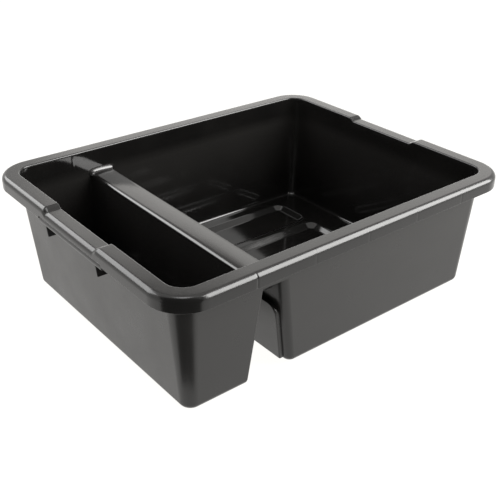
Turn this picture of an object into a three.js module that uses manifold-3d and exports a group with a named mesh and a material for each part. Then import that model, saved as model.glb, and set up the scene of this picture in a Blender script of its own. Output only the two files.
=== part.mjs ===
// Two-compartment cleaning caddy: one black moulding with a wide rim, a narrow and a wide compartment,
// an open slot between them and a carrying bar above the slot.
// Millimetres, +Z up, +X towards the wide compartment, origin under the middle of the rim.
// Heights in the code are taken from the walls' lower edge. The floor panels hang below that edge, so every
// piece is lifted by their depth in the end, and the caddy stands on them at z = 0.
import * as THREE from "three";
import { mergeVertices } from "three/addons/utils/BufferGeometryUtils.js";
import Module from "manifold-3d";

const wasm = await Module();
wasm.setup();

// Overall size
const LENGTH = 546;
const WIDTH = 431.4;
const HEIGHT = 172; // rim top above the walls' lower edge
const PANEL_DEPTH = 6; // floor panels below the walls' lower edge
const SHEET = 3; // wall, floor and rim thickness
const JOIN = 0.3; // hairline left between neighbouring regions of the moulding

// Rim
const RIM_WIDTH = 23.3;
const RIM_SKIRT = 18.3;
const RIM_EDGE_RADIUS = 5.5;
const RIM_LIP_RADIUS = 1;
const RIM_CORNER = 47; // outer corner radius seen from above
const LIP_CORNER = RIM_CORNER - RIM_WIDTH;
const ARC_STEPS = 8;

// Lowered hand-hold in the middle of each short rim
const DIP_DEPTH = 4.6;
const DIP_HALF = 56; // half length of the level part
const DIP_RAMP = 10;
const GRIP_SPLIT = 15; // the skirt stops this far under the rim along the hand-hold
const GRIP_HALF = 75;
const BEAD_DEPTH = 3.6;
const BEAD_HEIGHT = 6.5;
const GUSSET_AT = 60;
const GUSSET_DROP = 38;
const GUSSET_THICK = 3;

// Walls lean outwards towards the rim
const FOOT_LEFT = -237;
const FOOT_RIGHT = 241;
const FOOT_HALF_WIDTH = 183.5;
const WALL_TOP = HEIGHT - SHEET - JOIN;
const CORNER_FOOT = 15;
const CORNER_TOP = LIP_CORNER + SHEET;
const EDGE_RADIUS = 8; // rounding between floor and walls
const EDGE_STEPS = 4;
const FLOOR_TOP = 4; // where the floor gives way to the walls

// Slot between the compartments
const BAR_DROP = 35; // bar top below the rim
const BAR_TOP = HEIGHT - BAR_DROP;
const SLOT_LEFT_FOOT = -150.4;
const SLOT_LEFT_TOP = -135.5;
const SLOT_RIGHT_FOOT = -87;
const SLOT_RIGHT_TOP = -109.7;
const SLOT_CORNER_SMALL = 3;
const SLOT_CORNER_LARGE = 10;
const WEB_DROP = 62;
const WEB_SET_BACK = 12;
const BAR_CROWN = 1.2;
const PAD_TOP = 89;
const PAD_FOOT = 5;
const PAD_HALF = 168;
const PAD_CORNER = 15;
const PAD_PROUD = 5.6;

// Ribs
const RIB_PITCH = 84;
const RIB_SHIFT = 4;
const RIB_COUNT = 5;
const RIB_THICK = 2;
const RIB_DROP = 16;

// Sunken floor panels with sloped sides, as [left, right, front, back] at their upper edge
const PANEL_RUN = 9.5; // how far the slopes reach inwards
const PANEL_CORNER = 16;
const SMALL_PANELS = [[-216, -171, -160, 160]];
const LARGE_PANELS = [
  [-39, 193, 90, 160],
  [-39, 193, 5, 80],
  [-39, 193, -80, -5],
  [-39, 193, -160, -90],
];

const OPENING_HALF_LENGTH = LENGTH / 2 - RIM_WIDTH;
const OPENING_HALF_WIDTH = WIDTH / 2 - RIM_WIDTH;
const mix = (a, b, t) => a + (b - a) * t;

const black = (tone, roughness) =>
  new THREE.MeshStandardMaterial({ color: new THREE.Color(tone, tone, tone), roughness, metalness: 0 });
const satin = { tone: 0.035, roughness: 0.42 };
const gloss = { tone: 0.03, roughness: 0.25 };

const group = new THREE.Group();
function addNode(name, solid, look) {
  const raw = solid.translate(0, 0, PANEL_DEPTH).getMesh();
  const positions = new Float32Array(raw.numVert * 3);
  for (let i = 0; i < raw.numVert; i++) {
    positions.set(raw.vertProperties.subarray(i * raw.numProp, i * raw.numProp + 3), i * 3);
  }
  const geometry = new THREE.BufferGeometry();
  geometry.setAttribute("position", new THREE.BufferAttribute(positions, 3));
  geometry.setIndex(new THREE.BufferAttribute(new Uint32Array(raw.triVerts), 1));
  geometry.computeVertexNormals();
  const mesh = new THREE.Mesh(geometry, black(look.tone, look.roughness));
  mesh.name = name;
  group.add(mesh);
}

// Closed solid from points and triangles, turned so that its faces look outwards.
function solidOf(points, triangles) {
  const flat = new THREE.BufferGeometry();
  flat.setAttribute("position", new THREE.Float32BufferAttribute(points.flat(), 3));
  flat.setIndex(triangles.flat());
  const merged = mergeVertices(flat, 1e-4);
  const build = (corners) =>
    new wasm.Manifold(
      new wasm.Mesh({
        numProp: 3,
        vertProperties: merged.attributes.position.array,
        triVerts: new Uint32Array(corners),
      }),
    );
  const made = build(merged.index.array);
  return made.volume() > 0 ? made : build([...merged.index.array].reverse());
}

// Skin between equal closed rings, closed by a fan over the first and the last ring.
function loft(rings) {
  const points = rings.flat();
  const size = rings[0].length;
  const triangles = [];
  for (let r = 0; r < rings.length - 1; r++) {
    const here = r * size;
    const there = here + size;
    for (let i = 0; i < size; i++) {
      const j = (i + 1) % size;
      triangles.push([here + i, here + j, there + j]);
      triangles.push([here + i, there + j, there + i]);
    }
  }
  triangles.push(...cap(rings[0], 0, true));
  triangles.push(...cap(rings[rings.length - 1], (rings.length - 1) * size, false));
  return solidOf(points, triangles);
}

// Flat end of a loft, triangulated in the plane that shows the ring best.
function cap(ring, start, flip) {
  const normal = new THREE.Vector3();
  ring.forEach((a, i) => {
    const b = ring[(i + 1) % ring.length];
    normal.x += (a[1] - b[1]) * (a[2] + b[2]);
    normal.y += (a[2] - b[2]) * (a[0] + b[0]);
    normal.z += (a[0] - b[0]) * (a[1] + b[1]);
  });
  normal.normalize();
  const side = Math.abs(normal.z) > 0.7 ? new THREE.Vector3(1, 0, 0) : new THREE.Vector3(0, 0, 1);
  const u = side.sub(normal.clone().multiplyScalar(side.dot(normal))).normalize();
  const v = normal.clone().cross(u);
  const outline = ring.map((p) => {
    const at = new THREE.Vector3(...p);
    return new THREE.Vector2(at.dot(u), at.dot(v));
  });
  return THREE.ShapeUtils.triangulateShape(outline, []).map(([a, b, c]) =>
    flip ? [start + c, start + b, start + a] : [start + a, start + b, start + c],
  );
}

function block(x0, x1, y0, y1, z0, z1) {
  const ring = (z) => [[x0, y0, z], [x1, y0, z], [x1, y1, z], [x0, y1, z]];
  return loft([ring(z0), ring(z1)]);
}

// Rounded rectangle at height z; the corner radii are given anticlockwise from the back right.
function ringAt(x0, x1, half, radii, z) {
  const corners = [[x1, half, 0], [x0, half, 1], [x0, -half, 2], [x1, -half, 3]];
  const ring = [];
  corners.forEach(([cx, cy, quarter]) => {
    const radius = radii[quarter];
    const mx = cx - Math.sign(cx === x1 ? 1 : -1) * radius;
    const my = cy - Math.sign(cy) * radius;
    for (let s = 0; s <= ARC_STEPS; s++) {
      const angle = ((quarter + s / ARC_STEPS) * Math.PI) / 2;
      ring.push([mx + radius * Math.cos(angle), my + radius * Math.sin(angle), z]);
    }
  });
  return ring;
}

// Outer faces of the walls at height z
const outerLeft = (z) => mix(FOOT_LEFT, -OPENING_HALF_LENGTH - SHEET, z / HEIGHT);
const outerRight = (z) => mix(FOOT_RIGHT, OPENING_HALF_LENGTH + SHEET, z / HEIGHT);
const outerHalf = (z) => mix(FOOT_HALF_WIDTH, OPENING_HALF_WIDTH + SHEET, z / HEIGHT);
const cornerAt = (z) => mix(CORNER_FOOT, CORNER_TOP, z / HEIGHT);
const slotLeft = (z) => mix(SLOT_LEFT_FOOT, SLOT_LEFT_TOP, z / BAR_TOP);
const slotRight = (z) => mix(SLOT_RIGHT_FOOT, SLOT_RIGHT_TOP, z / BAR_TOP);

// One compartment as a stack of rings, moved in from its outer faces by inset.
function compartmentRings(left, right, radii, inset, floor, top, edge) {
  const rings = [];
  const ring = (z, extra) => {
    const more = inset + extra;
    const r = radii(z).map((radius) => Math.max(radius - more, 2));
    rings.push(ringAt(left(z) + more, right(z) - more, outerHalf(z) - more, r, z));
  };
  for (let s = 0; s < EDGE_STEPS; s++) {
    const angle = (s / EDGE_STEPS) * (Math.PI / 2);
    ring(floor + edge * (1 - Math.cos(angle)), edge * (1 - Math.sin(angle)));
  }
  ring(floor + edge, 0);
  ring(top, 0);
  return rings;
}

function compartment(left, right, radii) {
  const top = BAR_TOP - SHEET - JOIN;
  const outside = loft(compartmentRings(left, right, radii, 0, 0, top, EDGE_RADIUS));
  const hollow = loft(
    compartmentRings(left, right, radii, SHEET, SHEET, top + 1, EDGE_RADIUS - SHEET),
  );
  return outside.subtract(hollow);
}

// Cuts a compartment into its floor and four walls, parted by hairlines on the corner diagonals.
function addCompartment(name, left, right, radii, panels) {
  const tub = compartment(left, right, radii);
  const top = BAR_TOP;
  const far = 400;
  const midX = (left(top) + right(top)) / 2;
  let floor = tub.intersect(block(-far, far, -far, far, -1, FLOOR_TOP));
  panels.forEach((panel, i) => {
    floor = floor.subtract(panelHole(panel));
    addNode(name + "_panel_" + (i + 1), floorPanel(panel), gloss);
  });
  addNode(name + "_floor", floor, gloss);
  const upper = tub.intersect(block(-far, far, -far, far, FLOOR_TOP + JOIN, top));
  const half = outerHalf(top);
  const gap = JOIN / 2;
  const wedge = (outline) =>
    loft([outline.map(([x, y]) => [x, y, 0]), outline.map(([x, y]) => [x, y, top])]);
  const reach = half + 60;
  const inLeft = left(0) + half;
  const inRight = right(0) - half;
  const between = inLeft < inRight;
  const leftTip = between ? [inLeft, 0] : [midX, 0];
  const rightTip = between ? [inRight, 0] : [midX, 0];
  const steepLeft = half / (leftTip[0] - left(0));
  const steepRight = half / (right(0) - rightTip[0]);
  const outLeft = leftTip[0] - reach / steepLeft;
  const outRight = rightTip[0] + reach / steepRight;
  const shift = gap * 2;
  addNode(
    name + "_wall_left",
    upper.intersect(wedge([[leftTip[0] - shift, 0], [outLeft - shift, reach], [outLeft - shift, -reach]])),
    satin,
  );
  addNode(
    name + "_wall_right",
    upper.intersect(
      wedge([[rightTip[0] + shift, 0], [outRight + shift, -reach], [outRight + shift, reach]]),
    ),
    satin,
  );
  [["front", -1], ["back", 1]].forEach(([side, way]) => {
    const outline = [
      [outLeft, way * reach],
      [leftTip[0], way * gap],
      [rightTip[0] + gap, way * gap],
      [outRight, way * reach],
    ];
    addNode(name + "_wall_" + side, upper.intersect(wedge(outline)), satin);
  });
}

// Rim section in (outwards, height) pairs; drop lowers the top only, foot is where the skirt ends.
function rimSection(drop, foot) {
  const top = HEIGHT - drop;
  const section = [];
  const arc = (cx, cz, radius, from, to, steps) => {
    for (let s = 0; s <= steps; s++) {
      const angle = mix(from, to, s / steps);
      section.push([cx + radius * Math.cos(angle), cz + radius * Math.sin(angle)]);
    }
  };
  section.push([0, top - SHEET]);
  section.push([RIM_WIDTH - SHEET - 2, top - SHEET]);
  section.push([RIM_WIDTH - SHEET, top - SHEET - 2]);
  section.push([RIM_WIDTH - SHEET, foot]);
  section.push([RIM_WIDTH, foot]);
  arc(RIM_WIDTH - RIM_EDGE_RADIUS, top - RIM_EDGE_RADIUS, RIM_EDGE_RADIUS, 0, Math.PI / 2, 5);
  arc(RIM_LIP_RADIUS, top - RIM_LIP_RADIUS, RIM_LIP_RADIUS, Math.PI / 2, Math.PI, 2);
  return section;
}

const skirtFoot = HEIGHT - RIM_SKIRT;

// Half of the hand-hold's lowered profile as (distance from its middle, drop) pairs
const DIP_PROFILE = [
  [DIP_HALF + DIP_RAMP, 0],
  [DIP_HALF + 0.75 * DIP_RAMP, 0.12 * DIP_DEPTH],
  [DIP_HALF + 0.25 * DIP_RAMP, 0.88 * DIP_DEPTH],
  [DIP_HALF, DIP_DEPTH],
];

// Straight run of rim along X on the front (way -1) or back (way 1).
function longRim(way) {
  const end = LENGTH / 2 - RIM_CORNER - JOIN / 2;
  const ring = (x) =>
    rimSection(0, skirtFoot).map(([out, z]) => [x, way * (OPENING_HALF_WIDTH + out), z]);
  return loft([ring(-end), ring(end)]);
}

function cornerRim(wayX, wayY) {
  const middleX = wayX * (LENGTH / 2 - RIM_CORNER);
  const middleY = wayY * (WIDTH / 2 - RIM_CORNER);
  const rings = [];
  for (let s = 0; s <= ARC_STEPS; s++) {
    const angle = mix(0, Math.PI / 2, s / ARC_STEPS);
    rings.push(
      rimSection(0, skirtFoot).map(([out, z]) => [
        middleX + wayX * (LIP_CORNER + out) * Math.cos(angle),
        middleY + wayY * (LIP_CORNER + out) * Math.sin(angle),
        z,
      ]),
    );
  }
  return loft(rings);
}

// Short rim along Y with its lowered hand-hold.
function shortRim(way) {
  const end = WIDTH / 2 - RIM_CORNER - JOIN / 2;
  const split = HEIGHT - GRIP_SPLIT;
  const stations = [
    [end, 0, skirtFoot],
    [GRIP_HALF + 2, 0, skirtFoot],
    [GRIP_HALF + 1.9, 0, split],
    ...DIP_PROFILE.map(([y, drop]) => [y, drop, split]),
  ];
  const mirrored = stations.map(([y, drop, foot]) => [-y, drop, foot]).reverse();
  const rings = [...stations, ...mirrored].map(([y, drop, foot]) =>
    rimSection(drop, foot).map(([out, z]) => [way * (OPENING_HALF_LENGTH + out), y, z]),
  );
  return loft(rings);
}

function roundedBar(way) {
  const outer = LENGTH / 2 - 0.2;
  const top = HEIGHT - GRIP_SPLIT - JOIN * 2;
  const middle = top - BEAD_HEIGHT / 2;
  const ring = (y) => {
    const points = [];
    for (let s = 0; s <= ARC_STEPS; s++) {
      const angle = mix(-Math.PI / 2, Math.PI / 2, s / ARC_STEPS);
      const out = 1.6 * Math.cos(angle);
      points.push([way * (outer - 1.6 + out), y, middle + (BEAD_HEIGHT / 2) * Math.sin(angle)]);
    }
    points.push([way * (outer - BEAD_DEPTH), y, top]);
    points.push([way * (outer - BEAD_DEPTH), y, top - BEAD_HEIGHT]);
    return points;
  };
  return loft([ring(-GRIP_HALF), ring(GRIP_HALF)]);
}

// Plate under the end of a hand-hold, reaching from the wall out to the bead and below it.
function gusset(way, y) {
  const under = HEIGHT - SHEET - DIP_DEPTH - JOIN;
  const beadFoot = HEIGHT - GRIP_SPLIT - BEAD_HEIGHT - JOIN * 3;
  const foot = HEIGHT - GUSSET_DROP;
  const wall = way > 0 ? outerRight : (z) => -outerLeft(z);
  const skirt = LENGTH / 2 - BEAD_DEPTH - 0.2 - JOIN;
  const outline = [
    [wall(foot) + JOIN, foot],
    [LENGTH / 2 - 3, foot],
    [LENGTH / 2 - 1, beadFoot],
    [skirt, beadFoot],
    [skirt, under - 3],
    [skirt - 3, under],
    [wall(under) + JOIN, under],
  ];
  const ring = (at) => outline.map(([x, z]) => [way * x, at, z]);
  return loft([ring(y - GUSSET_THICK / 2), ring(y + GUSSET_THICK / 2)]);
}

function underRimRib(way, x) {
  const top = HEIGHT - SHEET - JOIN;
  const foot = HEIGHT - RIB_DROP;
  const skirt = WIDTH / 2 - SHEET - JOIN;
  const outline = [
    [outerHalf(foot) + JOIN, foot],
    [skirt, foot],
    [skirt, top - 2],
    [skirt - 2, top],
    [outerHalf(top) + JOIN, top],
  ];
  const ring = (at) => outline.map(([y, z]) => [at, way * y, z]);
  return loft([ring(x - RIB_THICK / 2), ring(x + RIB_THICK / 2)]);
}

// Space over the lowered rim, down to the flange's underside, to be cut from the wall below it.
function dipCut() {
  const edge = DIP_PROFILE.map(([y, drop]) => [y + JOIN, WALL_TOP - drop]);
  const mirrored = edge.map(([y, z]) => [-y, z]).reverse();
  const outline = [...edge, ...mirrored, [-DIP_HALF - DIP_RAMP, HEIGHT], [DIP_HALF + DIP_RAMP, HEIGHT]];
  return loft([-LENGTH, LENGTH].map((x) => outline.map(([y, z]) => [x, y, z])));
}

// Wall between the compartments' tops and the rim, cut into two long sides and two rounded ends.
function addUpperWall() {
  const foot = BAR_TOP - SHEET;
  const top = WALL_TOP;
  const rings = (inset, from, to) =>
    [from, to].map((z) => {
      const r = cornerAt(z) - inset;
      return ringAt(outerLeft(z) + inset, outerRight(z) - inset, outerHalf(z) - inset, [r, r, r, r], z);
    });
  const hollow = loft(rings(SHEET, foot - 1, top + 1));
  const band = loft(rings(0, foot, top)).subtract(hollow).subtract(dipCut());
  const far = 400;
  const cut = LENGTH / 2 - RIM_CORNER;
  addNode("upper_wall_left", band.intersect(block(-far, -cut - JOIN, -far, far, 0, far)), satin);
  addNode("upper_wall_right", band.intersect(block(cut + JOIN, far, -far, far, 0, far)), satin);
  addNode("upper_wall_front", band.intersect(block(-cut, cut, -far, 0, 0, far)), satin);
  addNode("upper_wall_back", band.intersect(block(-cut, cut, 0, far, 0, far)), satin);
}

// Carrying bar: crowned top with rounded edges, resting on the two walls of the slot.
function carryingBar() {
  const left = slotLeft(BAR_TOP) - SHEET;
  const right = slotRight(BAR_TOP) + SHEET;
  const edge = SHEET - 0.2;
  const section = [];
  section.push([left, BAR_TOP - SHEET]);
  section.push([right, BAR_TOP - SHEET]);
  const steps = 6;
  for (let s = 0; s <= steps; s++) {
    const angle = mix(0, Math.PI / 2, s / steps);
    section.push([right - edge + edge * Math.cos(angle), BAR_TOP - edge + edge * Math.sin(angle)]);
  }
  for (let s = 1; s < steps; s++) {
    const across = s / steps;
    const lift = BAR_CROWN * 4 * across * (1 - across);
    section.push([mix(right - edge, left + edge, across), BAR_TOP + lift]);
  }
  for (let s = 0; s <= steps; s++) {
    const angle = mix(Math.PI / 2, Math.PI, s / steps);
    section.push([left + edge + edge * Math.cos(angle), BAR_TOP - edge + edge * Math.sin(angle)]);
  }
  const end = outerHalf(BAR_TOP - SHEET) - SHEET - JOIN;
  const ring = (y) => section.map(([x, z]) => [x, y, z]);
  return loft([ring(end), ring(-end)]);
}

// Short curtain that closes the top of the slot's mouth.
function web(way) {
  const top = BAR_TOP - SHEET - JOIN;
  const foot = HEIGHT - WEB_DROP;
  const ring = (z) => {
    const outer = outerHalf(z) - WEB_SET_BACK;
    const ends = [slotLeft(z) + JOIN, slotRight(z) - JOIN];
    const face = way * outer;
    const rear = way * (outer - SHEET);
    return [[ends[0], face, z], [ends[1], face, z], [ends[1], rear, z], [ends[0], rear, z]];
  };
  return loft([ring(foot), ring(top)]);
}

// Raised pad low on the wide compartment's slot wall, with rounded upper corners.
function slotPad() {
  const outline = [];
  outline.push([PAD_HALF, PAD_FOOT]);
  [[1, 0], [-1, 1]].forEach(([way, quarter]) => {
    for (let s = 0; s <= ARC_STEPS; s++) {
      const angle = ((quarter + s / ARC_STEPS) * Math.PI) / 2;
      outline.push([
        way * (PAD_HALF - PAD_CORNER) + PAD_CORNER * Math.cos(angle),
        PAD_TOP - PAD_CORNER + PAD_CORNER * Math.sin(angle),
      ]);
    }
  });
  outline.push([-PAD_HALF, PAD_FOOT]);
  const inner = outline.map(([y, z]) => [slotRight(z) - JOIN, y, z]);
  const outer = outline.map(([y, z]) => [slotRight(z) - PAD_PROUD, y, z]);
  return loft([outer, inner]);
}

// Outline of a floor panel at height z, moved in from its upper edge by inset.
function panelRing([left, right, front, back], inset, z) {
  const r = PANEL_CORNER - inset;
  return ringAt(left + inset, right - inset, (back - front) / 2 - inset, [r, r, r, r], z);
}

const panelMiddle = ([, , front, back]) => (front + back) / 2;

function panelHole(panel) {
  const rings = [-1, FLOOR_TOP + 1].map((z) => panelRing(panel, -JOIN, z));
  return loft(rings).translate(0, panelMiddle(panel), 0);
}

// Shallow pan that hangs from the floor: sloped all round, one sheet thick.
function floorPanel(panel) {
  const ring = (inset, z) => panelRing(panel, inset, z);
  const outside = loft([ring(PANEL_RUN, -PANEL_DEPTH), ring(0, 0), ring(0, SHEET)]);
  const bottom = SHEET - PANEL_DEPTH;
  const hollow = loft([ring(PANEL_RUN, bottom), ring(JOIN, SHEET - 0.1), ring(JOIN, SHEET + 1)]);
  return outside.subtract(hollow).translate(0, panelMiddle(panel), 0);
}

addNode("rim_front", longRim(-1), satin);
addNode("rim_back", longRim(1), satin);
addNode("rim_left_hand_hold", shortRim(-1), satin);
addNode("rim_right_hand_hold", shortRim(1), satin);
[["left", -1], ["right", 1]].forEach(([sideX, wayX]) => {
  [["front", -1], ["back", 1]].forEach(([sideY, wayY]) => {
    addNode("rim_corner_" + sideY + "_" + sideX, cornerRim(wayX, wayY), satin);
    addNode("grip_gusset_" + sideX + "_" + sideY, gusset(wayX, wayY * GUSSET_AT), satin);
  });
  addNode("grip_bead_" + sideX, roundedBar(wayX), satin);
});
[["front", -1], ["back", 1]].forEach(([side, way]) => {
  for (let i = 0; i < RIB_COUNT; i++) {
    const x = (i - (RIB_COUNT - 1) / 2) * RIB_PITCH + RIB_SHIFT;
    addNode("rim_rib_" + side + "_" + (i + 1), underRimRib(way, x), satin);
  }
  addNode("slot_web_" + side, web(way), satin);
});

addUpperWall();
const outerRadius = (z) => cornerAt(z);
const smallRadii = (z) => [SLOT_CORNER_SMALL, outerRadius(z), outerRadius(z), SLOT_CORNER_SMALL];
const largeRadii = (z) => [outerRadius(z), SLOT_CORNER_LARGE, SLOT_CORNER_LARGE, outerRadius(z)];
addCompartment("small", outerLeft, slotLeft, smallRadii, SMALL_PANELS);
addCompartment("large", slotRight, outerRight, largeRadii, LARGE_PANELS);
addNode("carrying_bar", carryingBar(), gloss);
addNode("slot_pad", slotPad(), satin);

export default group;
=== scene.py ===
import bpy
import bmesh
import math
from mathutils import Matrix, Vector


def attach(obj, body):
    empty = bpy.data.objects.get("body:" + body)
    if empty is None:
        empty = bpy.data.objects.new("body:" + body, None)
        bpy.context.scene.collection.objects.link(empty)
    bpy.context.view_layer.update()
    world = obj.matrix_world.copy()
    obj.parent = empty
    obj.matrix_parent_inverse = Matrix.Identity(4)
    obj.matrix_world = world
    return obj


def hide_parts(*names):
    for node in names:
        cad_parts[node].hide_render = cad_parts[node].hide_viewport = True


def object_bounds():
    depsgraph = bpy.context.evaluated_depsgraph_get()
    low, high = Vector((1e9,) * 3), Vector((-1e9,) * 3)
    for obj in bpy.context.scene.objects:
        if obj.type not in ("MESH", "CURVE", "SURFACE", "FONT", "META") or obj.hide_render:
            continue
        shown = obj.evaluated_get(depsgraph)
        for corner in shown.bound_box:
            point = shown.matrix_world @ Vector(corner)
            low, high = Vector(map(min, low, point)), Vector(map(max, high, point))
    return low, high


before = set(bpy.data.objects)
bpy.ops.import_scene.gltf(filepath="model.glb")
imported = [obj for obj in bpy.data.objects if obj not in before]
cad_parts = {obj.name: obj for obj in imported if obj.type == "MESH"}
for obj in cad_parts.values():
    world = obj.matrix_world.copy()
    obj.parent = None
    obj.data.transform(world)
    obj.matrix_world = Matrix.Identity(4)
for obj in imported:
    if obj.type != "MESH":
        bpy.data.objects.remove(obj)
cad_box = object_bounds()
MM = 0.001

# ---------------------------------------------------------------- camera
CAMERA_PLACE = Vector((-0.62706, -0.77108, 0.61226))
CAMERA_AZIMUTH = math.radians(39.1)
CAMERA_TILT = math.radians(29.27)
CAMERA_ROLL = math.radians(0.66)
CAMERA_LENS = 58.23

camera_data = bpy.data.cameras.new("camera")
camera = bpy.data.objects.new("camera", camera_data)
bpy.context.scene.collection.objects.link(camera)
bpy.context.scene.camera = camera
camera_data.sensor_width = 36
camera_data.lens = CAMERA_LENS
camera_data.clip_end = 50
ahead = Vector(
    (
        math.sin(CAMERA_AZIMUTH) * math.cos(CAMERA_TILT),
        math.cos(CAMERA_AZIMUTH) * math.cos(CAMERA_TILT),
        -math.sin(CAMERA_TILT),
    )
)
level = Vector((math.cos(CAMERA_AZIMUTH), -math.sin(CAMERA_AZIMUTH), 0))
upright = level.cross(ahead)
right = level * math.cos(CAMERA_ROLL) + upright * math.sin(CAMERA_ROLL)
up = upright * math.cos(CAMERA_ROLL) - level * math.sin(CAMERA_ROLL)
turned = Matrix((right, up, -ahead)).transposed()
camera.matrix_world = Matrix.Translation(CAMERA_PLACE) @ turned.to_4x4()

# ---------------------------------------------------------------- sizes
cad_low, cad_high = cad_box
HALF_LENGTH = cad_high[0] / MM
HALF_WIDTH = cad_high[1] / MM
LIFT = 6  # floor panels below the walls' lower edge
HEIGHT = cad_high[2] / MM - LIFT
SHEET = 3

RIM_WIDTH = 23.3
RIM_CORNER = 47
EDGE_RADIUS = 7.4  # outer rounding of the rim
LIP_RADIUS = 1.8
SKIRT_FOOT = HEIGHT - 18.3
GRIP_FOOT = HEIGHT - 15
GRIP_HALF = 75
DIP_DEPTH = 4.6
DIP_HALF = 56
DIP_RAMP = 10

OPEN_LENGTH = HALF_LENGTH - RIM_WIDTH
OPEN_WIDTH = HALF_WIDTH - RIM_WIDTH
LIP_CORNER = RIM_CORNER - RIM_WIDTH
BAND_FOOT = HEIGHT - 40  # lower edge of the wall band that both compartments hang from
BAR_TOP = HEIGHT - 35
FLOOR_EDGE = 8  # rounding between floor and walls
ARC = 20  # steps in each corner

FOOT_LEFT = -237
FOOT_RIGHT = 241
FOOT_HALF_WIDTH = 183.5
FOOT_CORNER = 15
SLOT_LEFT_FOOT = -150.4
SLOT_LEFT_TOP = -135.5
SLOT_RIGHT_FOOT = -87
SLOT_RIGHT_TOP = -109.7

RIB_PITCH = 84
RIB_SHIFT = 4
RIB_PLACES = [RIB_SHIFT + RIB_PITCH * i for i in (-2, -1, 0, 1, 2)]


def mix(a, b, t):
    return a + (b - a) * t


# Outer faces of the walls, their corner radius and the two faces of the slot at height z
def outer_left(z):
    return mix(FOOT_LEFT, -OPEN_LENGTH - SHEET, z / HEIGHT)


def outer_right(z):
    return mix(FOOT_RIGHT, OPEN_LENGTH + SHEET, z / HEIGHT)


def outer_half(z):
    return mix(FOOT_HALF_WIDTH, OPEN_WIDTH + SHEET, z / HEIGHT)


def corner_at(z):
    return mix(FOOT_CORNER, LIP_CORNER + SHEET, z / HEIGHT)


def slot_left(z):
    return mix(SLOT_LEFT_FOOT, SLOT_LEFT_TOP, z / BAR_TOP)


def slot_right(z):
    return mix(SLOT_RIGHT_FOOT, SLOT_RIGHT_TOP, z / BAR_TOP)


# ---------------------------------------------------------------- materials
def node_of(tree, kind, **values):
    node = tree.nodes.new(kind)
    for key, value in values.items():
        setattr(node, key, value)
    return node


def noise(tree, place, scale, detail=4, rough=0.55):
    node = node_of(tree, "ShaderNodeTexNoise")
    node.inputs["Scale"].default_value = scale
    node.inputs["Detail"].default_value = detail
    node.inputs["Roughness"].default_value = rough
    tree.links.new(place, node.inputs["Vector"])
    return node.outputs["Fac"]


def spread(tree, source, low, high, to_low, to_high):
    node = node_of(tree, "ShaderNodeMapRange")
    node.inputs["From Min"].default_value = low
    node.inputs["From Max"].default_value = high
    node.inputs["To Min"].default_value = to_low
    node.inputs["To Max"].default_value = to_high
    tree.links.new(source, node.inputs["Value"])
    return node.outputs["Result"]


def plastic(name, rough, rough_play, speckle, speckle_scale, waves, level=0.5):
    """Black moulded plastic: speckled skin, slow sheen changes, faint flow waves and a painted
    highlight, a lighter colour on sharp edges.
    """
    material = bpy.data.materials.new(name)
    material.use_nodes = True
    tree = material.node_tree
    tree.nodes.clear()
    out = node_of(tree, "ShaderNodeOutputMaterial")
    shader = node_of(tree, "ShaderNodeBsdfPrincipled")
    tree.links.new(shader.outputs["BSDF"], out.inputs["Surface"])
    shader.inputs["IOR"].default_value = 1.5
    shader.inputs["Specular IOR Level"].default_value = level
    place = node_of(tree, "ShaderNodeTexCoord").outputs["Object"]

    cloud = noise(tree, place, 14, 3)
    grain = noise(tree, place, speckle_scale, 3, 0.6)
    ramp = node_of(tree, "ShaderNodeValToRGB")
    ramp.color_ramp.elements[0].position = 0.3
    ramp.color_ramp.elements[0].color = (0.0030, 0.0029, 0.0028, 1)
    ramp.color_ramp.elements[1].position = 0.75
    ramp.color_ramp.elements[1].color = (0.0052, 0.0050, 0.0047, 1)
    tree.links.new(cloud, ramp.inputs["Fac"])
    # Painted highlight: sharp convex edges (high pointiness) get a lighter base colour that stands in
    # for light caught along the edges.
    painted_edge_highlight = node_of(tree, "ShaderNodeMix", data_type="RGBA")
    painted_edge_highlight.inputs["B"].default_value = (0.011, 0.0106, 0.010, 1)
    edge = node_of(tree, "ShaderNodeNewGeometry").outputs["Pointiness"]
    tree.links.new(spread(tree, edge, 0.53, 0.62, 0.0, 1.0), painted_edge_highlight.inputs["Factor"])
    tree.links.new(ramp.outputs["Color"], painted_edge_highlight.inputs["A"])
    tree.links.new(painted_edge_highlight.outputs["Result"], shader.inputs["Base Color"])

    slow = spread(tree, noise(tree, place, 22, 5), 0.3, 0.7, rough - rough_play, rough + rough_play)
    fine = spread(tree, grain, 0.35, 0.65, -0.35 * rough_play, 0.35 * rough_play)
    total = node_of(tree, "ShaderNodeMath", operation="ADD")
    tree.links.new(slow, total.inputs[0])
    tree.links.new(fine, total.inputs[1])
    tree.links.new(total.outputs["Value"], shader.inputs["Roughness"])

    flow = node_of(tree, "ShaderNodeBump")
    flow.inputs["Strength"].default_value = waves
    flow.inputs["Distance"].default_value = 0.0006
    tree.links.new(noise(tree, place, 9, 2), flow.inputs["Height"])
    skin = node_of(tree, "ShaderNodeBump")
    skin.inputs["Strength"].default_value = speckle
    skin.inputs["Distance"].default_value = 0.0001
    tree.links.new(grain, skin.inputs["Height"])
    tree.links.new(flow.outputs["Normal"], skin.inputs["Normal"])
    tree.links.new(skin.outputs["Normal"], shader.inputs["Normal"])
    return material


SATIN = plastic("black_satin", 0.31, 0.04, 0.45, 900, 0.25)
RIM_LOOK = plastic("black_rim", 0.21, 0.04, 0.25, 800, 0.2)
GLOSS = plastic("black_gloss", 0.09, 0.025, 0.05, 700, 0.08)
BAR_LOOK = plastic("black_bar", 0.17, 0.03, 0.08, 800, 0.10, 0.72)


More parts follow.
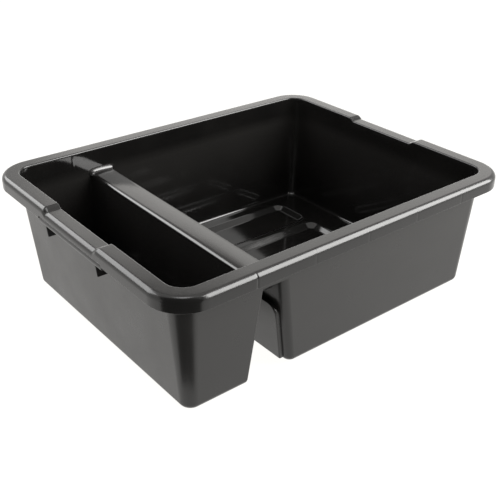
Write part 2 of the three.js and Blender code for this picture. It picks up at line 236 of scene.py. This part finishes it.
# ---------------------------------------------------------------- mesh tools
def rounded(x0, x1, half, radii, stations_x=(), stations_y=()):
    """Rounded rectangle, anticlockwise from the back right; radii in the same order."""
    spots = [(x1, half, 0), (x0, half, 1), (x0, -half, 2), (x1, -half, 3)]
    ring = []
    for cx, cy, quarter in spots:
        radius = radii[quarter]
        mx = cx - radius if cx == x1 else cx + radius
        my = cy - math.copysign(radius, cy)
        for s in range(ARC + 1):
            angle = (quarter + s / ARC) * math.pi / 2
            ring.append((mx + radius * math.cos(angle), my + radius * math.sin(angle)))
        run = {
            0: [(x, half) for x in reversed(stations_x)],
            1: [(x0, y) for y in reversed(stations_y)],
            2: [(x, -half) for x in stations_x],
            3: [(x1, y) for y in stations_y],
        }[quarter]
        ring.extend(run)
    return ring


class Shape:
    def __init__(self):
        self.bm = bmesh.new()

    def ring(self, points):
        return [self.bm.verts.new((x, y, z)) for x, y, z in points]

    def skin(self, rings, closed=False):
        pairs = list(zip(rings, rings[1:]))
        if closed:
            pairs.append((rings[-1], rings[0]))
        for a, b in pairs:
            size = len(a)
            for i in range(size):
                j = (i + 1) % size
                self.bm.faces.new((a[i], a[j], b[j], b[i]))

    def cap(self, ring):
        self.bm.faces.new(ring)

    def sheet(self, outline, holes):
        edges = []
        for loop in [outline, *holes]:
            for i, vert in enumerate(loop):
                other = loop[(i + 1) % len(loop)]
                edge = self.bm.edges.get((vert, other)) or self.bm.edges.new((vert, other))
                edges.append(edge)
        bmesh.ops.triangle_fill(self.bm, use_beauty=True, edges=edges, normal=(0, 0, 1))


def finish_piece(name, shape, look, nodes, sharp=50, bevel=0.0):
    bm = shape.bm
    bmesh.ops.remove_doubles(bm, verts=bm.verts, dist=0.002)
    bmesh.ops.recalc_face_normals(bm, faces=bm.faces)
    for vert in bm.verts:
        vert.co = Vector((vert.co.x * MM, vert.co.y * MM, (vert.co.z + LIFT) * MM))
    mesh = bpy.data.meshes.new(name)
    bm.to_mesh(mesh)
    bm.free()
    piece = bpy.data.objects.new(name, mesh)
    bpy.context.scene.collection.objects.link(piece)
    mesh.materials.append(look)
    mesh.shade_smooth()
    mesh.set_sharp_from_angle(angle=math.radians(sharp))
    if bevel:
        round_off = piece.modifiers.new("edges", "BEVEL")
        round_off.width = bevel * MM
        round_off.segments = 2
        round_off.limit_method = "ANGLE"
        round_off.angle_limit = math.radians(40)
    weigh = piece.modifiers.new("normals", "WEIGHTED_NORMAL")
    weigh.keep_sharp = True
    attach(piece, "root")
    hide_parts(*nodes)
    return piece


def arc(cx, cz, radius, start, stop, steps):
    for s in range(steps + 1):
        angle = math.radians(mix(start, stop, s / steps))
        yield cx + radius * math.cos(angle), cz + radius * math.sin(angle)


# ---------------------------------------------------------------- rim and upper wall
def dip(y):
    away = abs(y) - DIP_HALF
    if away <= 0:
        return DIP_DEPTH
    if away >= DIP_RAMP:
        return 0.0
    return DIP_DEPTH * (0.5 + 0.5 * math.cos(math.pi * away / DIP_RAMP))


SINK_FIRST = 0.55
SINK_OTHERS = 0.2
SINK_WIDTH = 1.1
SINK_INSIDE = 0.25  # share of a mark that shows on the wall's inner face


def sink(x):
    """Depth of the sink marks that the under-rim ribs leave in the skin."""
    total = 0.0
    for number, place in enumerate(RIB_PLACES):
        deep = SINK_FIRST if number == 0 else SINK_OTHERS
        total += deep * math.exp(-(((x - place) / SINK_WIDTH) ** 2))
    return total


SINK_STEPS = (-4, -2.6, -1.8, -1.2, -0.6, 0, 0.6, 1.2, 1.8, 2.6, 4)
STATIONS_X = sorted(place + step for place in RIB_PLACES for step in SINK_STEPS)
RAMP_STEPS = [DIP_HALF + DIP_RAMP * s / 10 for s in range(11)]
HALF_STATIONS = [0, 20, 40] + RAMP_STEPS + [70, GRIP_HALF, GRIP_HALF + 0.6, GRIP_HALF + 4]
STATIONS_Y = sorted(set([-y for y in HALF_STATIONS] + HALF_STATIONS))

# Section as (kind, outwards or inset, height, how much the dip moves it, how much a rib sinks it)
SECTION = []


def wall_point(inset, z, share, marked=0.0):
    SECTION.append(("wall", inset, z, share, marked))


def flange_point(out, z, share, marked=0.0):
    SECTION.append(("flange", out, z, share, marked))


# Inner face of the wall, upwards
wall_point(SHEET, BAND_FOOT, 0)
wall_point(SHEET, HEIGHT - 22, 0)
wall_point(SHEET, HEIGHT - 16, 0, -1)
wall_point(SHEET, HEIGHT - 8, 0.5, -1)
wall_point(SHEET, HEIGHT - 3, 1, -1)
# Lip, flat top and rounded outer edge
for px, pz in arc(LIP_RADIUS, HEIGHT - LIP_RADIUS, LIP_RADIUS, 180, 90, 4):
    flange_point(px, pz, 1, 0)
flange_point(RIM_WIDTH - EDGE_RADIUS - 4, HEIGHT, 1, 0)
for px, pz in arc(RIM_WIDTH - EDGE_RADIUS, HEIGHT - EDGE_RADIUS, EDGE_RADIUS, 90, 0, 12):
    flange_point(px, pz, 1, 1)
# Skirt, round its foot and up its inner face
flange_point(RIM_WIDTH, SKIRT_FOOT + 0.8, "foot", 1)
flange_point(RIM_WIDTH - 0.25, SKIRT_FOOT + 0.2, "foot", 1)
flange_point(RIM_WIDTH - 0.8, SKIRT_FOOT, "foot", 1)
flange_point(RIM_WIDTH - SHEET + 0.6, SKIRT_FOOT, "foot", 0)
flange_point(RIM_WIDTH - SHEET, SKIRT_FOOT + 0.6, "foot", 0)
for px, pz in arc(RIM_WIDTH - EDGE_RADIUS, HEIGHT - EDGE_RADIUS, EDGE_RADIUS - SHEET, 0, 90, 6):
    flange_point(px, pz, 1, 0)
# Underside of the flange and outer face of the wall, downwards
wall_point(-2.5, HEIGHT - SHEET, 1)
wall_point(-0.7, HEIGHT - SHEET - 0.7, 1)
wall_point(0, HEIGHT - SHEET - 2.5, 1)
wall_point(0, HEIGHT - 20, 0)
wall_point(0, BAND_FOOT, 0)


def foot_lift(y):
    return GRIP_FOOT - SKIRT_FOOT if abs(y) <= GRIP_HALF + 0.01 else 0.0


def band_ring(kind, out, z, share, marked):
    if kind == "wall":
        x0 = outer_left(z) + out
        x1 = outer_right(z) - out
        half = outer_half(z) - out
        radius = corner_at(z) - out
    else:
        x0 = -OPEN_LENGTH - out
        x1 = OPEN_LENGTH + out
        half = OPEN_WIDTH + out
        radius = LIP_CORNER + out
    ring = []
    for x, y in rounded(x0, x1, half, [radius] * 4, STATIONS_X, STATIONS_Y):
        height = z
        end = abs(y) < half - radius - 1e-6
        if end:
            height += foot_lift(y) if share == "foot" else -share * dip(y)
        elif marked:
            y -= math.copysign(marked * sink(x) * (SINK_INSIDE if marked < 0 else 1.0), y)
        ring.append((x, y, height))
    return ring


rim = Shape()
rim.skin([rim.ring(band_ring(*spot)) for spot in SECTION], closed=True)
sides = ("front", "back")
ends = ("left", "right")
rim_nodes = ["rim_front", "rim_back", "rim_left_hand_hold", "rim_right_hand_hold"]
rim_nodes += ["rim_corner_%s_%s" % (side, end) for side in sides for end in ends]
rim_nodes += ["upper_wall_" + part for part in sides + ends]
rim_piece = finish_piece("rim_and_upper_wall", rim, RIM_LOOK, rim_nodes)
# Glossy inner face of the wall, satin outer face below the skirt
LIP_ZONE = 2.5
rim_piece.data.materials.append(GLOSS)
rim_piece.data.materials.append(SATIN)
for poly in rim_piece.data.polygons:
    middle = poly.center
    outwards = poly.normal.dot(Vector((middle.x, middle.y, 0)))
    if middle.z < (HEIGHT + LIFT - LIP_ZONE) * MM and outwards < 0:
        poly.material_index = 1
    if middle.z < (SKIRT_FOOT + LIFT) * MM and outwards > 0:
        poly.material_index = 2


# ---------------------------------------------------------------- plates under the rim
PLATE_EDGE = 0.35


def plate(name, outline, across, thick):
    """Flat plate: outline is a list of (x, y, z); across is the direction of its thickness."""
    shape = Shape()
    away = Vector(across) * thick / 2
    near = shape.ring([Vector(p) - away for p in outline])
    far = shape.ring([Vector(p) + away for p in outline])
    shape.skin([near, far])
    shape.cap(near)
    shape.cap(far)
    finish_piece(name, shape, SATIN, [name], bevel=PLATE_EDGE)


RIB_DROP = 16
RIB_THICK = 2
ROOT = 0.5  # how far a plate reaches into the wall that carries it
for side, way in (("front", -1), ("back", 1)):
    for number, place in enumerate(RIB_PLACES):
        foot = HEIGHT - RIB_DROP
        top = HEIGHT - SHEET + 0.5
        skirt = HALF_WIDTH - SHEET + 0.4
        outline = [
            (place, way * (outer_half(foot) - ROOT), foot),
            (place, way * (skirt - 1.5), foot),
            (place, way * skirt, foot + 1.5),
            (place, way * skirt, HEIGHT - EDGE_RADIUS),
            (place, way * (skirt - 4.5), top),
            (place, way * (outer_half(top) - ROOT), top),
        ]
        name = "rim_rib_%s_%d" % (side, number + 1)
        plate(name, outline, (1, 0, 0), RIB_THICK)

GUSSET_AT = 60
GUSSET_DROP = 38
GUSSET_THICK = 3
BEAD_TOP = GRIP_FOOT - 0.6
BEAD_FOOT = BEAD_TOP - 6.5
BEAD_DEPTH = 3.6
BEAD_BULGE = 1.5
# Places along the bead and how much it has shrunk there, so that both ends are rounded
BEAD_STATIONS = [
    (-GRIP_HALF - 1.5, 1.2),
    (-GRIP_HALF - 1.2, 0.5),
    (-GRIP_HALF - 0.6, 0.12),
    (-GRIP_HALF, 0),
    (-GRIP_HALF / 2, 0),
    (0, 0),
    (GRIP_HALF / 2, 0),
    (GRIP_HALF - 1.4, 0),
    (GRIP_HALF - 0.8, 0.12),
    (GRIP_HALF - 0.3, 0.5),
    (GRIP_HALF, 1.2),
]
for end, way in (("left", -1), ("right", 1)):
    for side, turn in (("front", -1), ("back", 1)):
        wall = outer_right if way > 0 else lambda z: -outer_left(z)
        foot = HEIGHT - GUSSET_DROP
        under = HEIGHT - SHEET - DIP_DEPTH + 0.6
        outline = [
            (way * (wall(foot) - ROOT), foot),
            (way * (HALF_LENGTH - 3.5), foot),
            (way * (HALF_LENGTH - 2.6), foot + 0.8),
            (way * (HALF_LENGTH - 1.2), BEAD_FOOT + 1),
            (way * (HALF_LENGTH - 3.2), BEAD_TOP),
            (way * (HALF_LENGTH - 3.2), under - 4),
            (way * (HALF_LENGTH - 6.5), under),
            (way * (wall(under) - ROOT), under),
        ]
        name = "grip_gusset_%s_%s" % (end, side)
        place = turn * GUSSET_AT
        plate(name, [(x, place, z) for x, z in outline], (0, 1, 0), GUSSET_THICK)

    bead = Shape()
    rings = []
    face = HALF_LENGTH - 0.1
    for y, shrink in BEAD_STATIONS:
        section = []
        middle = (BEAD_TOP + BEAD_FOOT) / 2
        tall = (BEAD_TOP - BEAD_FOOT) / 2 - shrink
        for s in range(13):
            angle = math.radians(mix(-90, 90, s / 12))
            bulge = BEAD_BULGE * math.copysign(abs(math.cos(angle)) ** 0.8, math.cos(angle))
            out = face - shrink - BEAD_BULGE + bulge
            section.append((way * out, y, middle + tall * math.sin(angle)))
        section.append((way * (face - BEAD_DEPTH), y, middle + tall))
        section.append((way * (face - BEAD_DEPTH), y, middle - tall))
        rings.append(bead.ring(section))
    bead.skin(rings)
    bead.cap(rings[0])
    bead.cap(rings[-1])
    finish_piece("grip_bead_" + end, bead, SATIN, ["grip_bead_" + end])

# ---------------------------------------------------------------- compartments
PANEL_RUN = 9.5
PANEL_CORNER = 16
PANEL_BEND = 1.6  # half width of the roundings at the ends of a slope
UNDERSIDE = -0.9  # the panels' outer skin lies this far outside the inner one
# Panels as (left, right, front, back) at their upper edge
SMALL_PANELS = [(-216, -171, -160, 160)]
LARGE_PANELS = [
    (-39, 193, 90, 160),
    (-39, 193, 5, 80),
    (-39, 193, -80, -5),
    (-39, 193, -160, -90),
]


def panel_ring(panel, inset, z):
    left_x, right_x, front, back = panel
    middle = (front + back) / 2
    r = PANEL_CORNER - inset
    ring = rounded(left_x + inset, right_x - inset, (back - front) / 2 - inset, [r] * 4)
    return [(x, y + middle, z) for x, y in ring]


def panel_steps(inset):
    """Insets and depths from a panel's upper edge down its slope."""
    bend = PANEL_BEND
    slope = LIFT / PANEL_RUN
    upper = [(-bend, 0), (-0.4 * bend, 0.1), (0.4 * bend, 0.5), (bend, 1)]
    steps = [(inset + away, share * bend * slope) for away, share in upper]
    lower = [(inset + PANEL_RUN - away, LIFT - share * bend * slope) for away, share in upper]
    return steps + lower[::-1]


def compartment(name, left, right_side, radii, panels, nodes):
    """Tub with rounded floor edges and sunken floor panels, one sheet thick."""
    shape = Shape()

    def wall(z, inset):
        r = [max(radius - inset, 1.2) for radius in radii(z)]
        ring = rounded(left(z) + inset, right_side(z) - inset, outer_half(z) - inset, r)
        return shape.ring([(x, y, z) for x, y in ring])

    outside = []
    for s in range(9):
        angle = math.radians(90 * s / 8)
        outside.append(wall(FLOOR_EDGE * (1 - math.cos(angle)), FLOOR_EDGE * (1 - math.sin(angle))))
    outside.append(wall(BAND_FOOT, 0))
    inside = [wall(BAND_FOOT, SHEET)]
    small = FLOOR_EDGE - SHEET
    for s in range(9):
        angle = math.radians(90 - 90 * s / 8)
        height = SHEET + small * (1 - math.cos(angle))
        inside.append(wall(height, SHEET + small * (1 - math.sin(angle))))
    shape.skin(outside + inside)

    for floor_ring, floor_z, inset in ((inside[-1], SHEET, 0.0), (outside[0], 0.0, UNDERSIDE)):
        holes = []
        for panel in panels:
            rings = [
                shape.ring(panel_ring(panel, away, floor_z - down)) for away, down in panel_steps(inset)
            ]
            shape.skin(rings)
            shape.cap(rings[-1])
            holes.append(rings[0])
        shape.sheet(floor_ring, holes)
    return finish_piece(name, shape, GLOSS, nodes)


def nodes_of(prefix, panels):
    names = [prefix + "_floor"] + [prefix + "_wall_" + part for part in sides + ends]
    return names + [prefix + "_panel_%d" % (i + 1) for i in range(len(panels))]


SLOT_CORNER_SMALL = 3
SLOT_CORNER_LARGE = 10.5


def small_radii(z):
    return [SLOT_CORNER_SMALL, corner_at(z), corner_at(z), SLOT_CORNER_SMALL]


def large_radii(z):
    return [corner_at(z), SLOT_CORNER_LARGE, SLOT_CORNER_LARGE, corner_at(z)]


small_tub = compartment(
    "small_compartment",
    outer_left,
    slot_left,
    small_radii,
    SMALL_PANELS,
    nodes_of("small", SMALL_PANELS),
)
large_tub = compartment(
    "large_compartment",
    slot_right,
    outer_right,
    large_radii,
    LARGE_PANELS,
    nodes_of("large", LARGE_PANELS),
)

# The outside of each compartment has the satin skin, the inside the glossy one.
FLOOR_ZONE = 1.6
for tub in (small_tub, large_tub):
    tub.data.materials.append(SATIN)
    centre_x = sum((Vector(c).x for c in tub.bound_box)) / 8
    for poly in tub.data.polygons:
        middle = poly.center
        outwards = Vector((middle.x - centre_x, middle.y, 0))
        above = middle.z > (LIFT + FLOOR_ZONE) * MM
        if above and poly.normal.dot(outwards) > 0 or poly.normal.z < -0.5:
            poly.material_index = 1

# ---------------------------------------------------------------- carrying bar
bar = Shape()
BAR_CROWN = 1.0
bar_left = slot_left(BAND_FOOT) - SHEET
bar_right = slot_right(BAND_FOOT) + SHEET


def bar_section():
    """Outer profile from the left foot over the crown to the right foot, then back inside."""
    x0 = bar_left
    x1 = bar_right
    points = [(x0, BAND_FOOT)]
    points += list(arc(x0 + 4.0, BAR_TOP - 4.4, 4.0, 180, 105, 10))
    steps = 10
    start = x0 + 4.6
    for s in range(steps + 1):
        t = s / steps
        swell = math.sin(math.pi * (0.12 + 0.78 * t)) ** 0.8
        z = BAR_TOP - 0.05 + BAR_CROWN * swell - BAR_CROWN * 0.3
        points.append((mix(start, x1 - 2.0, t), z))
    points += list(arc(x1 - 1.3, BAR_TOP - 1.0, 1.3, 70, 0, 4))
    points.append((x1, BAND_FOOT))
    points.append((x1 - SHEET, BAND_FOOT))
    points.append((x1 - SHEET, BAR_TOP - SHEET - 1.5))
    points.append((x1 - SHEET - 1.5, BAR_TOP - SHEET))
    points.append((x0 + SHEET + 3.5, BAR_TOP - SHEET))
    points.append((x0 + SHEET, BAR_TOP - SHEET - 2.5))
    points.append((x0 + SHEET, BAND_FOOT))
    return points


bar_end = outer_half(BAR_TOP) - SHEET + 0.2
FLARE = 7.0  # fillet between the bar and the wall at each end
FLARE_FADE = 3
OUTER_POINTS = 28  # points of the section that belong to its outer profile
section = bar_section()
stations = [bar_end - FLARE * s / 10 for s in range(11)]
stations = sorted([-y for y in stations] + stations)
rings = []
for y in stations:
    away = max(0.0, (abs(y) - (bar_end - FLARE)) / FLARE)
    grow = FLARE * (1 - math.sqrt(max(0.0, 1 - min(away, 1.0) ** 2)))
    ring = []
    for i, (x, z) in enumerate(section):
        if i < OUTER_POINTS:
            before = section[max(i - 1, 0)]
            after = section[min(i + 1, OUTER_POINTS - 1)]
            run = Vector((after[0] - before[0], after[1] - before[1])).normalized()
            fade = min(1.0, max(0.0, (z - BAND_FOOT - 0.2) / FLARE_FADE))
            x -= run.y * grow * fade
            z += run.x * grow * fade
        ring.append((x, y, z))
    rings.append(bar.ring(ring))
bar.skin(rings)
bar.cap(rings[0])
bar.cap(rings[-1])
finish_piece("carrying_bar", bar, BAR_LOOK, ["carrying_bar"], sharp=40)

# ---------------------------------------------------------------- slot web and pad
WEB_FOOT = HEIGHT - 62
WEB_SET_BACK = 22
for side, way in (("front", -1), ("back", 1)):
    web = Shape()
    rings = []
    for z in (WEB_FOOT, WEB_FOOT + 0.4, WEB_FOOT + 1.2, BAR_TOP - SHEET + 0.3):
        bend = {WEB_FOOT: 0.9, WEB_FOOT + 0.4: 0.3}.get(z, 0.0)
        face = outer_half(z) - WEB_SET_BACK - bend
        rear = outer_half(z) - WEB_SET_BACK - SHEET + bend
        x0 = slot_left(z) - ROOT
        x1 = slot_right(z) + ROOT
        corners = [(x0, face), (x1, face), (x1, rear), (x0, rear)]
        rings.append(web.ring([(x, way * y, z) for x, y in corners]))
    web.skin(rings)
    web.cap(rings[0])
    web.cap(rings[-1])
    finish_piece("slot_web_" + side, web, SATIN, ["slot_web_" + side])

PAD_TOP = 89
PAD_FOOT = 5
PAD_HALF = 174.5
PAD_CORNER = 15
PAD_PROUD = 5.6
PAD_LEAN = 5  # the pad is this much longer at its upper edge, at each end
# Inset of the outline and height over the wall, from the pad's face to its root
PAD_STEPS = [
    (1.7, PAD_PROUD),
    (0.9, PAD_PROUD - 0.25),
    (0.35, PAD_PROUD - 0.8),
    (0.1, PAD_PROUD - 1.6),
    (0, -4.5),
]


def pad_outline(inset):
    r = PAD_CORNER - inset
    low = PAD_FOOT + inset
    points = [(PAD_HALF - inset, low + 1), (PAD_HALF - inset, (low + PAD_TOP) / 2)]
    for turn, quarter in ((1, 0), (-1, 1)):
        for s in range(ARC + 1):
            angle = (quarter + s / ARC) * math.pi / 2
            y = turn * (PAD_HALF - PAD_CORNER) + r * math.cos(angle)
            points.append((y, PAD_TOP - PAD_CORNER + r * math.sin(angle)))
    points += [(-PAD_HALF + inset, (low + PAD_TOP) / 2), (-PAD_HALF + inset, low + 1)]
    points += [(-PAD_HALF + inset + 1, low), (PAD_HALF - inset - 1, low)]
    return points


pad = Shape()
rings = []
for inset, proud in PAD_STEPS:
    ring = []
    for y, z in pad_outline(inset):
        lean = PAD_LEAN * (z - PAD_FOOT) / (PAD_TOP - PAD_FOOT)
        ring.append((slot_right(z) - proud, y + math.copysign(lean, y), z))
    rings.append(pad.ring(ring))
pad.skin(rings)
pad.cap(rings[0])
pad.cap(rings[-1])
finish_piece("slot_pad", pad, SATIN, ["slot_pad"])


# ---------------------------------------------------------------- floor, cards and lights
def glow_material(name, colour, strength):
    material = bpy.data.materials.new(name)
    material.use_nodes = True
    tree = material.node_tree
    tree.nodes.clear()
    out = node_of(tree, "ShaderNodeOutputMaterial")
    shader = node_of(tree, "ShaderNodeEmission")
    shader.inputs["Color"].default_value = (*colour, 1)
    shader.inputs["Strength"].default_value = strength
    tree.links.new(shader.outputs["Emission"], out.inputs["Surface"])
    return material


def floor_material():
    material = bpy.data.materials.new("pale_floor")
    material.use_nodes = True
    tree = material.node_tree
    shader = tree.nodes["Principled BSDF"]
    shader.inputs["Base Color"].default_value = (0.055, 0.055, 0.055, 1)
    shader.inputs["Roughness"].default_value = 0.9
    shader.inputs["Specular IOR Level"].default_value = 0.0
    shader.inputs["Emission Color"].default_value = (1.0, 0.985, 0.96, 1)
    shader.inputs["Emission Strength"].default_value = 1.0
    return material


def quad(name, corners, material):
    mesh = bpy.data.meshes.new(name)
    mesh.from_pydata(corners, [], [tuple(range(len(corners)))])
    item = bpy.data.objects.new(name, mesh)
    bpy.context.scene.collection.objects.link(item)
    mesh.materials.append(material)
    return item


FLOOR_REACH = 9
FLOOR_GAP = 0.0003
CARD_LIFT = 0.001
AIM = Vector((0, 0, 0.12))  # what the lights and cards face
floor_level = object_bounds()[0][2] - FLOOR_GAP
spots = [(-1, -1), (1, -1), (1, 1), (-1, 1)]
quad("floor", [(x * FLOOR_REACH, y * FLOOR_REACH, floor_level) for x, y in spots], floor_material())


def facing(name, direction, distance, wide, tall, material):
    """Flat card that faces the caddy from a direction and is seen only in reflections."""
    d = Vector(direction).normalized()
    side = Vector((0, 0, 1)).cross(d).normalized() * wide / 2
    rise = d.cross(side).normalized() * tall / 2
    centre = AIM + d * distance
    card = quad(name, [centre + side * a + rise * b for a, b in spots], material)
    hide_from_camera(card)


def hide_from_camera(item):
    item.visible_camera = False
    item.visible_diffuse = False
    item.visible_shadow = False
    item.visible_transmission = False


def softbox(name, direction, distance, wide, tall, radiance, colour=(1, 1, 1)):
    data = bpy.data.lights.new(name, "AREA")
    data.shape = "RECTANGLE"
    data.size = wide
    data.size_y = tall
    data.energy = radiance * math.pi * wide * tall
    data.color = colour
    lamp = bpy.data.objects.new(name, data)
    bpy.context.scene.collection.objects.link(lamp)
    d = Vector(direction).normalized()
    lamp.location = AIM + d * distance
    lamp.rotation_euler = d.to_track_quat("Z", "Y").to_euler()
    lamp.visible_camera = False


world = bpy.data.worlds.new("studio")
world.use_nodes = True
surround = world.node_tree.nodes["Background"]
surround.inputs["Color"].default_value = (1.0, 0.985, 0.96, 1)
surround.inputs["Strength"].default_value = 1.0
bpy.context.scene.world = world

# Softboxes: name, direction, distance, width, height, radiance, colour
softbox("key", (0.55, -0.60, 0.56), 1.7, 1.5, 1.5, 12.0, (1.0, 0.99, 0.975))
softbox("rear_fill", (-0.42, 0.69, 0.58), 1.7, 1.5, 1.0, 5.0)
softbox("overhead", (-0.13, -0.06, 0.99), 1.7, 0.5, 0.5, 5.0)

# Cards that only reflections see: dark ones towards the camera and high at the back, bright ones behind
DARK = glow_material("dark_card", (1, 0.97, 0.94), 0.10)
DIM = glow_material("dim_card", (1, 0.97, 0.94), 0.45)
BRIGHT = glow_material("bright_card", (1, 0.99, 0.97), 3.0)
PALE = glow_material("pale_card", (1, 0.98, 0.95), 1.75)
facing("flag_front", (-0.62, -0.75, 0.45), 1.0, 1.9, 1.7, DARK)
facing("backdrop_low", (0.62, 0.66, 0.10), 2.7, 2.6, 0.5, BRIGHT)
facing("backdrop_high", (0.60, 0.62, 0.42), 2.5, 2.2, 1.3, PALE)
facing("flag_rear", (0.23, 0.68, 0.74), 1.9, 0.9, 0.7, DIM)

# Dark sector on the floor in front of the near corner
SECTOR_CORNER = Vector((-0.226, -0.169, CARD_LIFT))
SECTOR_NEAR = 0.06
SECTOR_FAR = 1.5


def around(radius, degrees):
    angle = math.radians(degrees)
    return SECTOR_CORNER + Vector((radius * math.cos(angle), radius * math.sin(angle), 0))


sector = [around(SECTOR_NEAR, a) for a in (270, 225, 180)]
sector += [around(SECTOR_FAR, a) for a in range(178, 279, 10)]
hide_from_camera(quad("flag_floor", sector, DARK))

scene = bpy.context.scene
scene.view_settings.view_transform = "Standard"
scene.view_settings.look = "None"
scene.view_settings.exposure = 0
scene.view_settings.gamma = 1
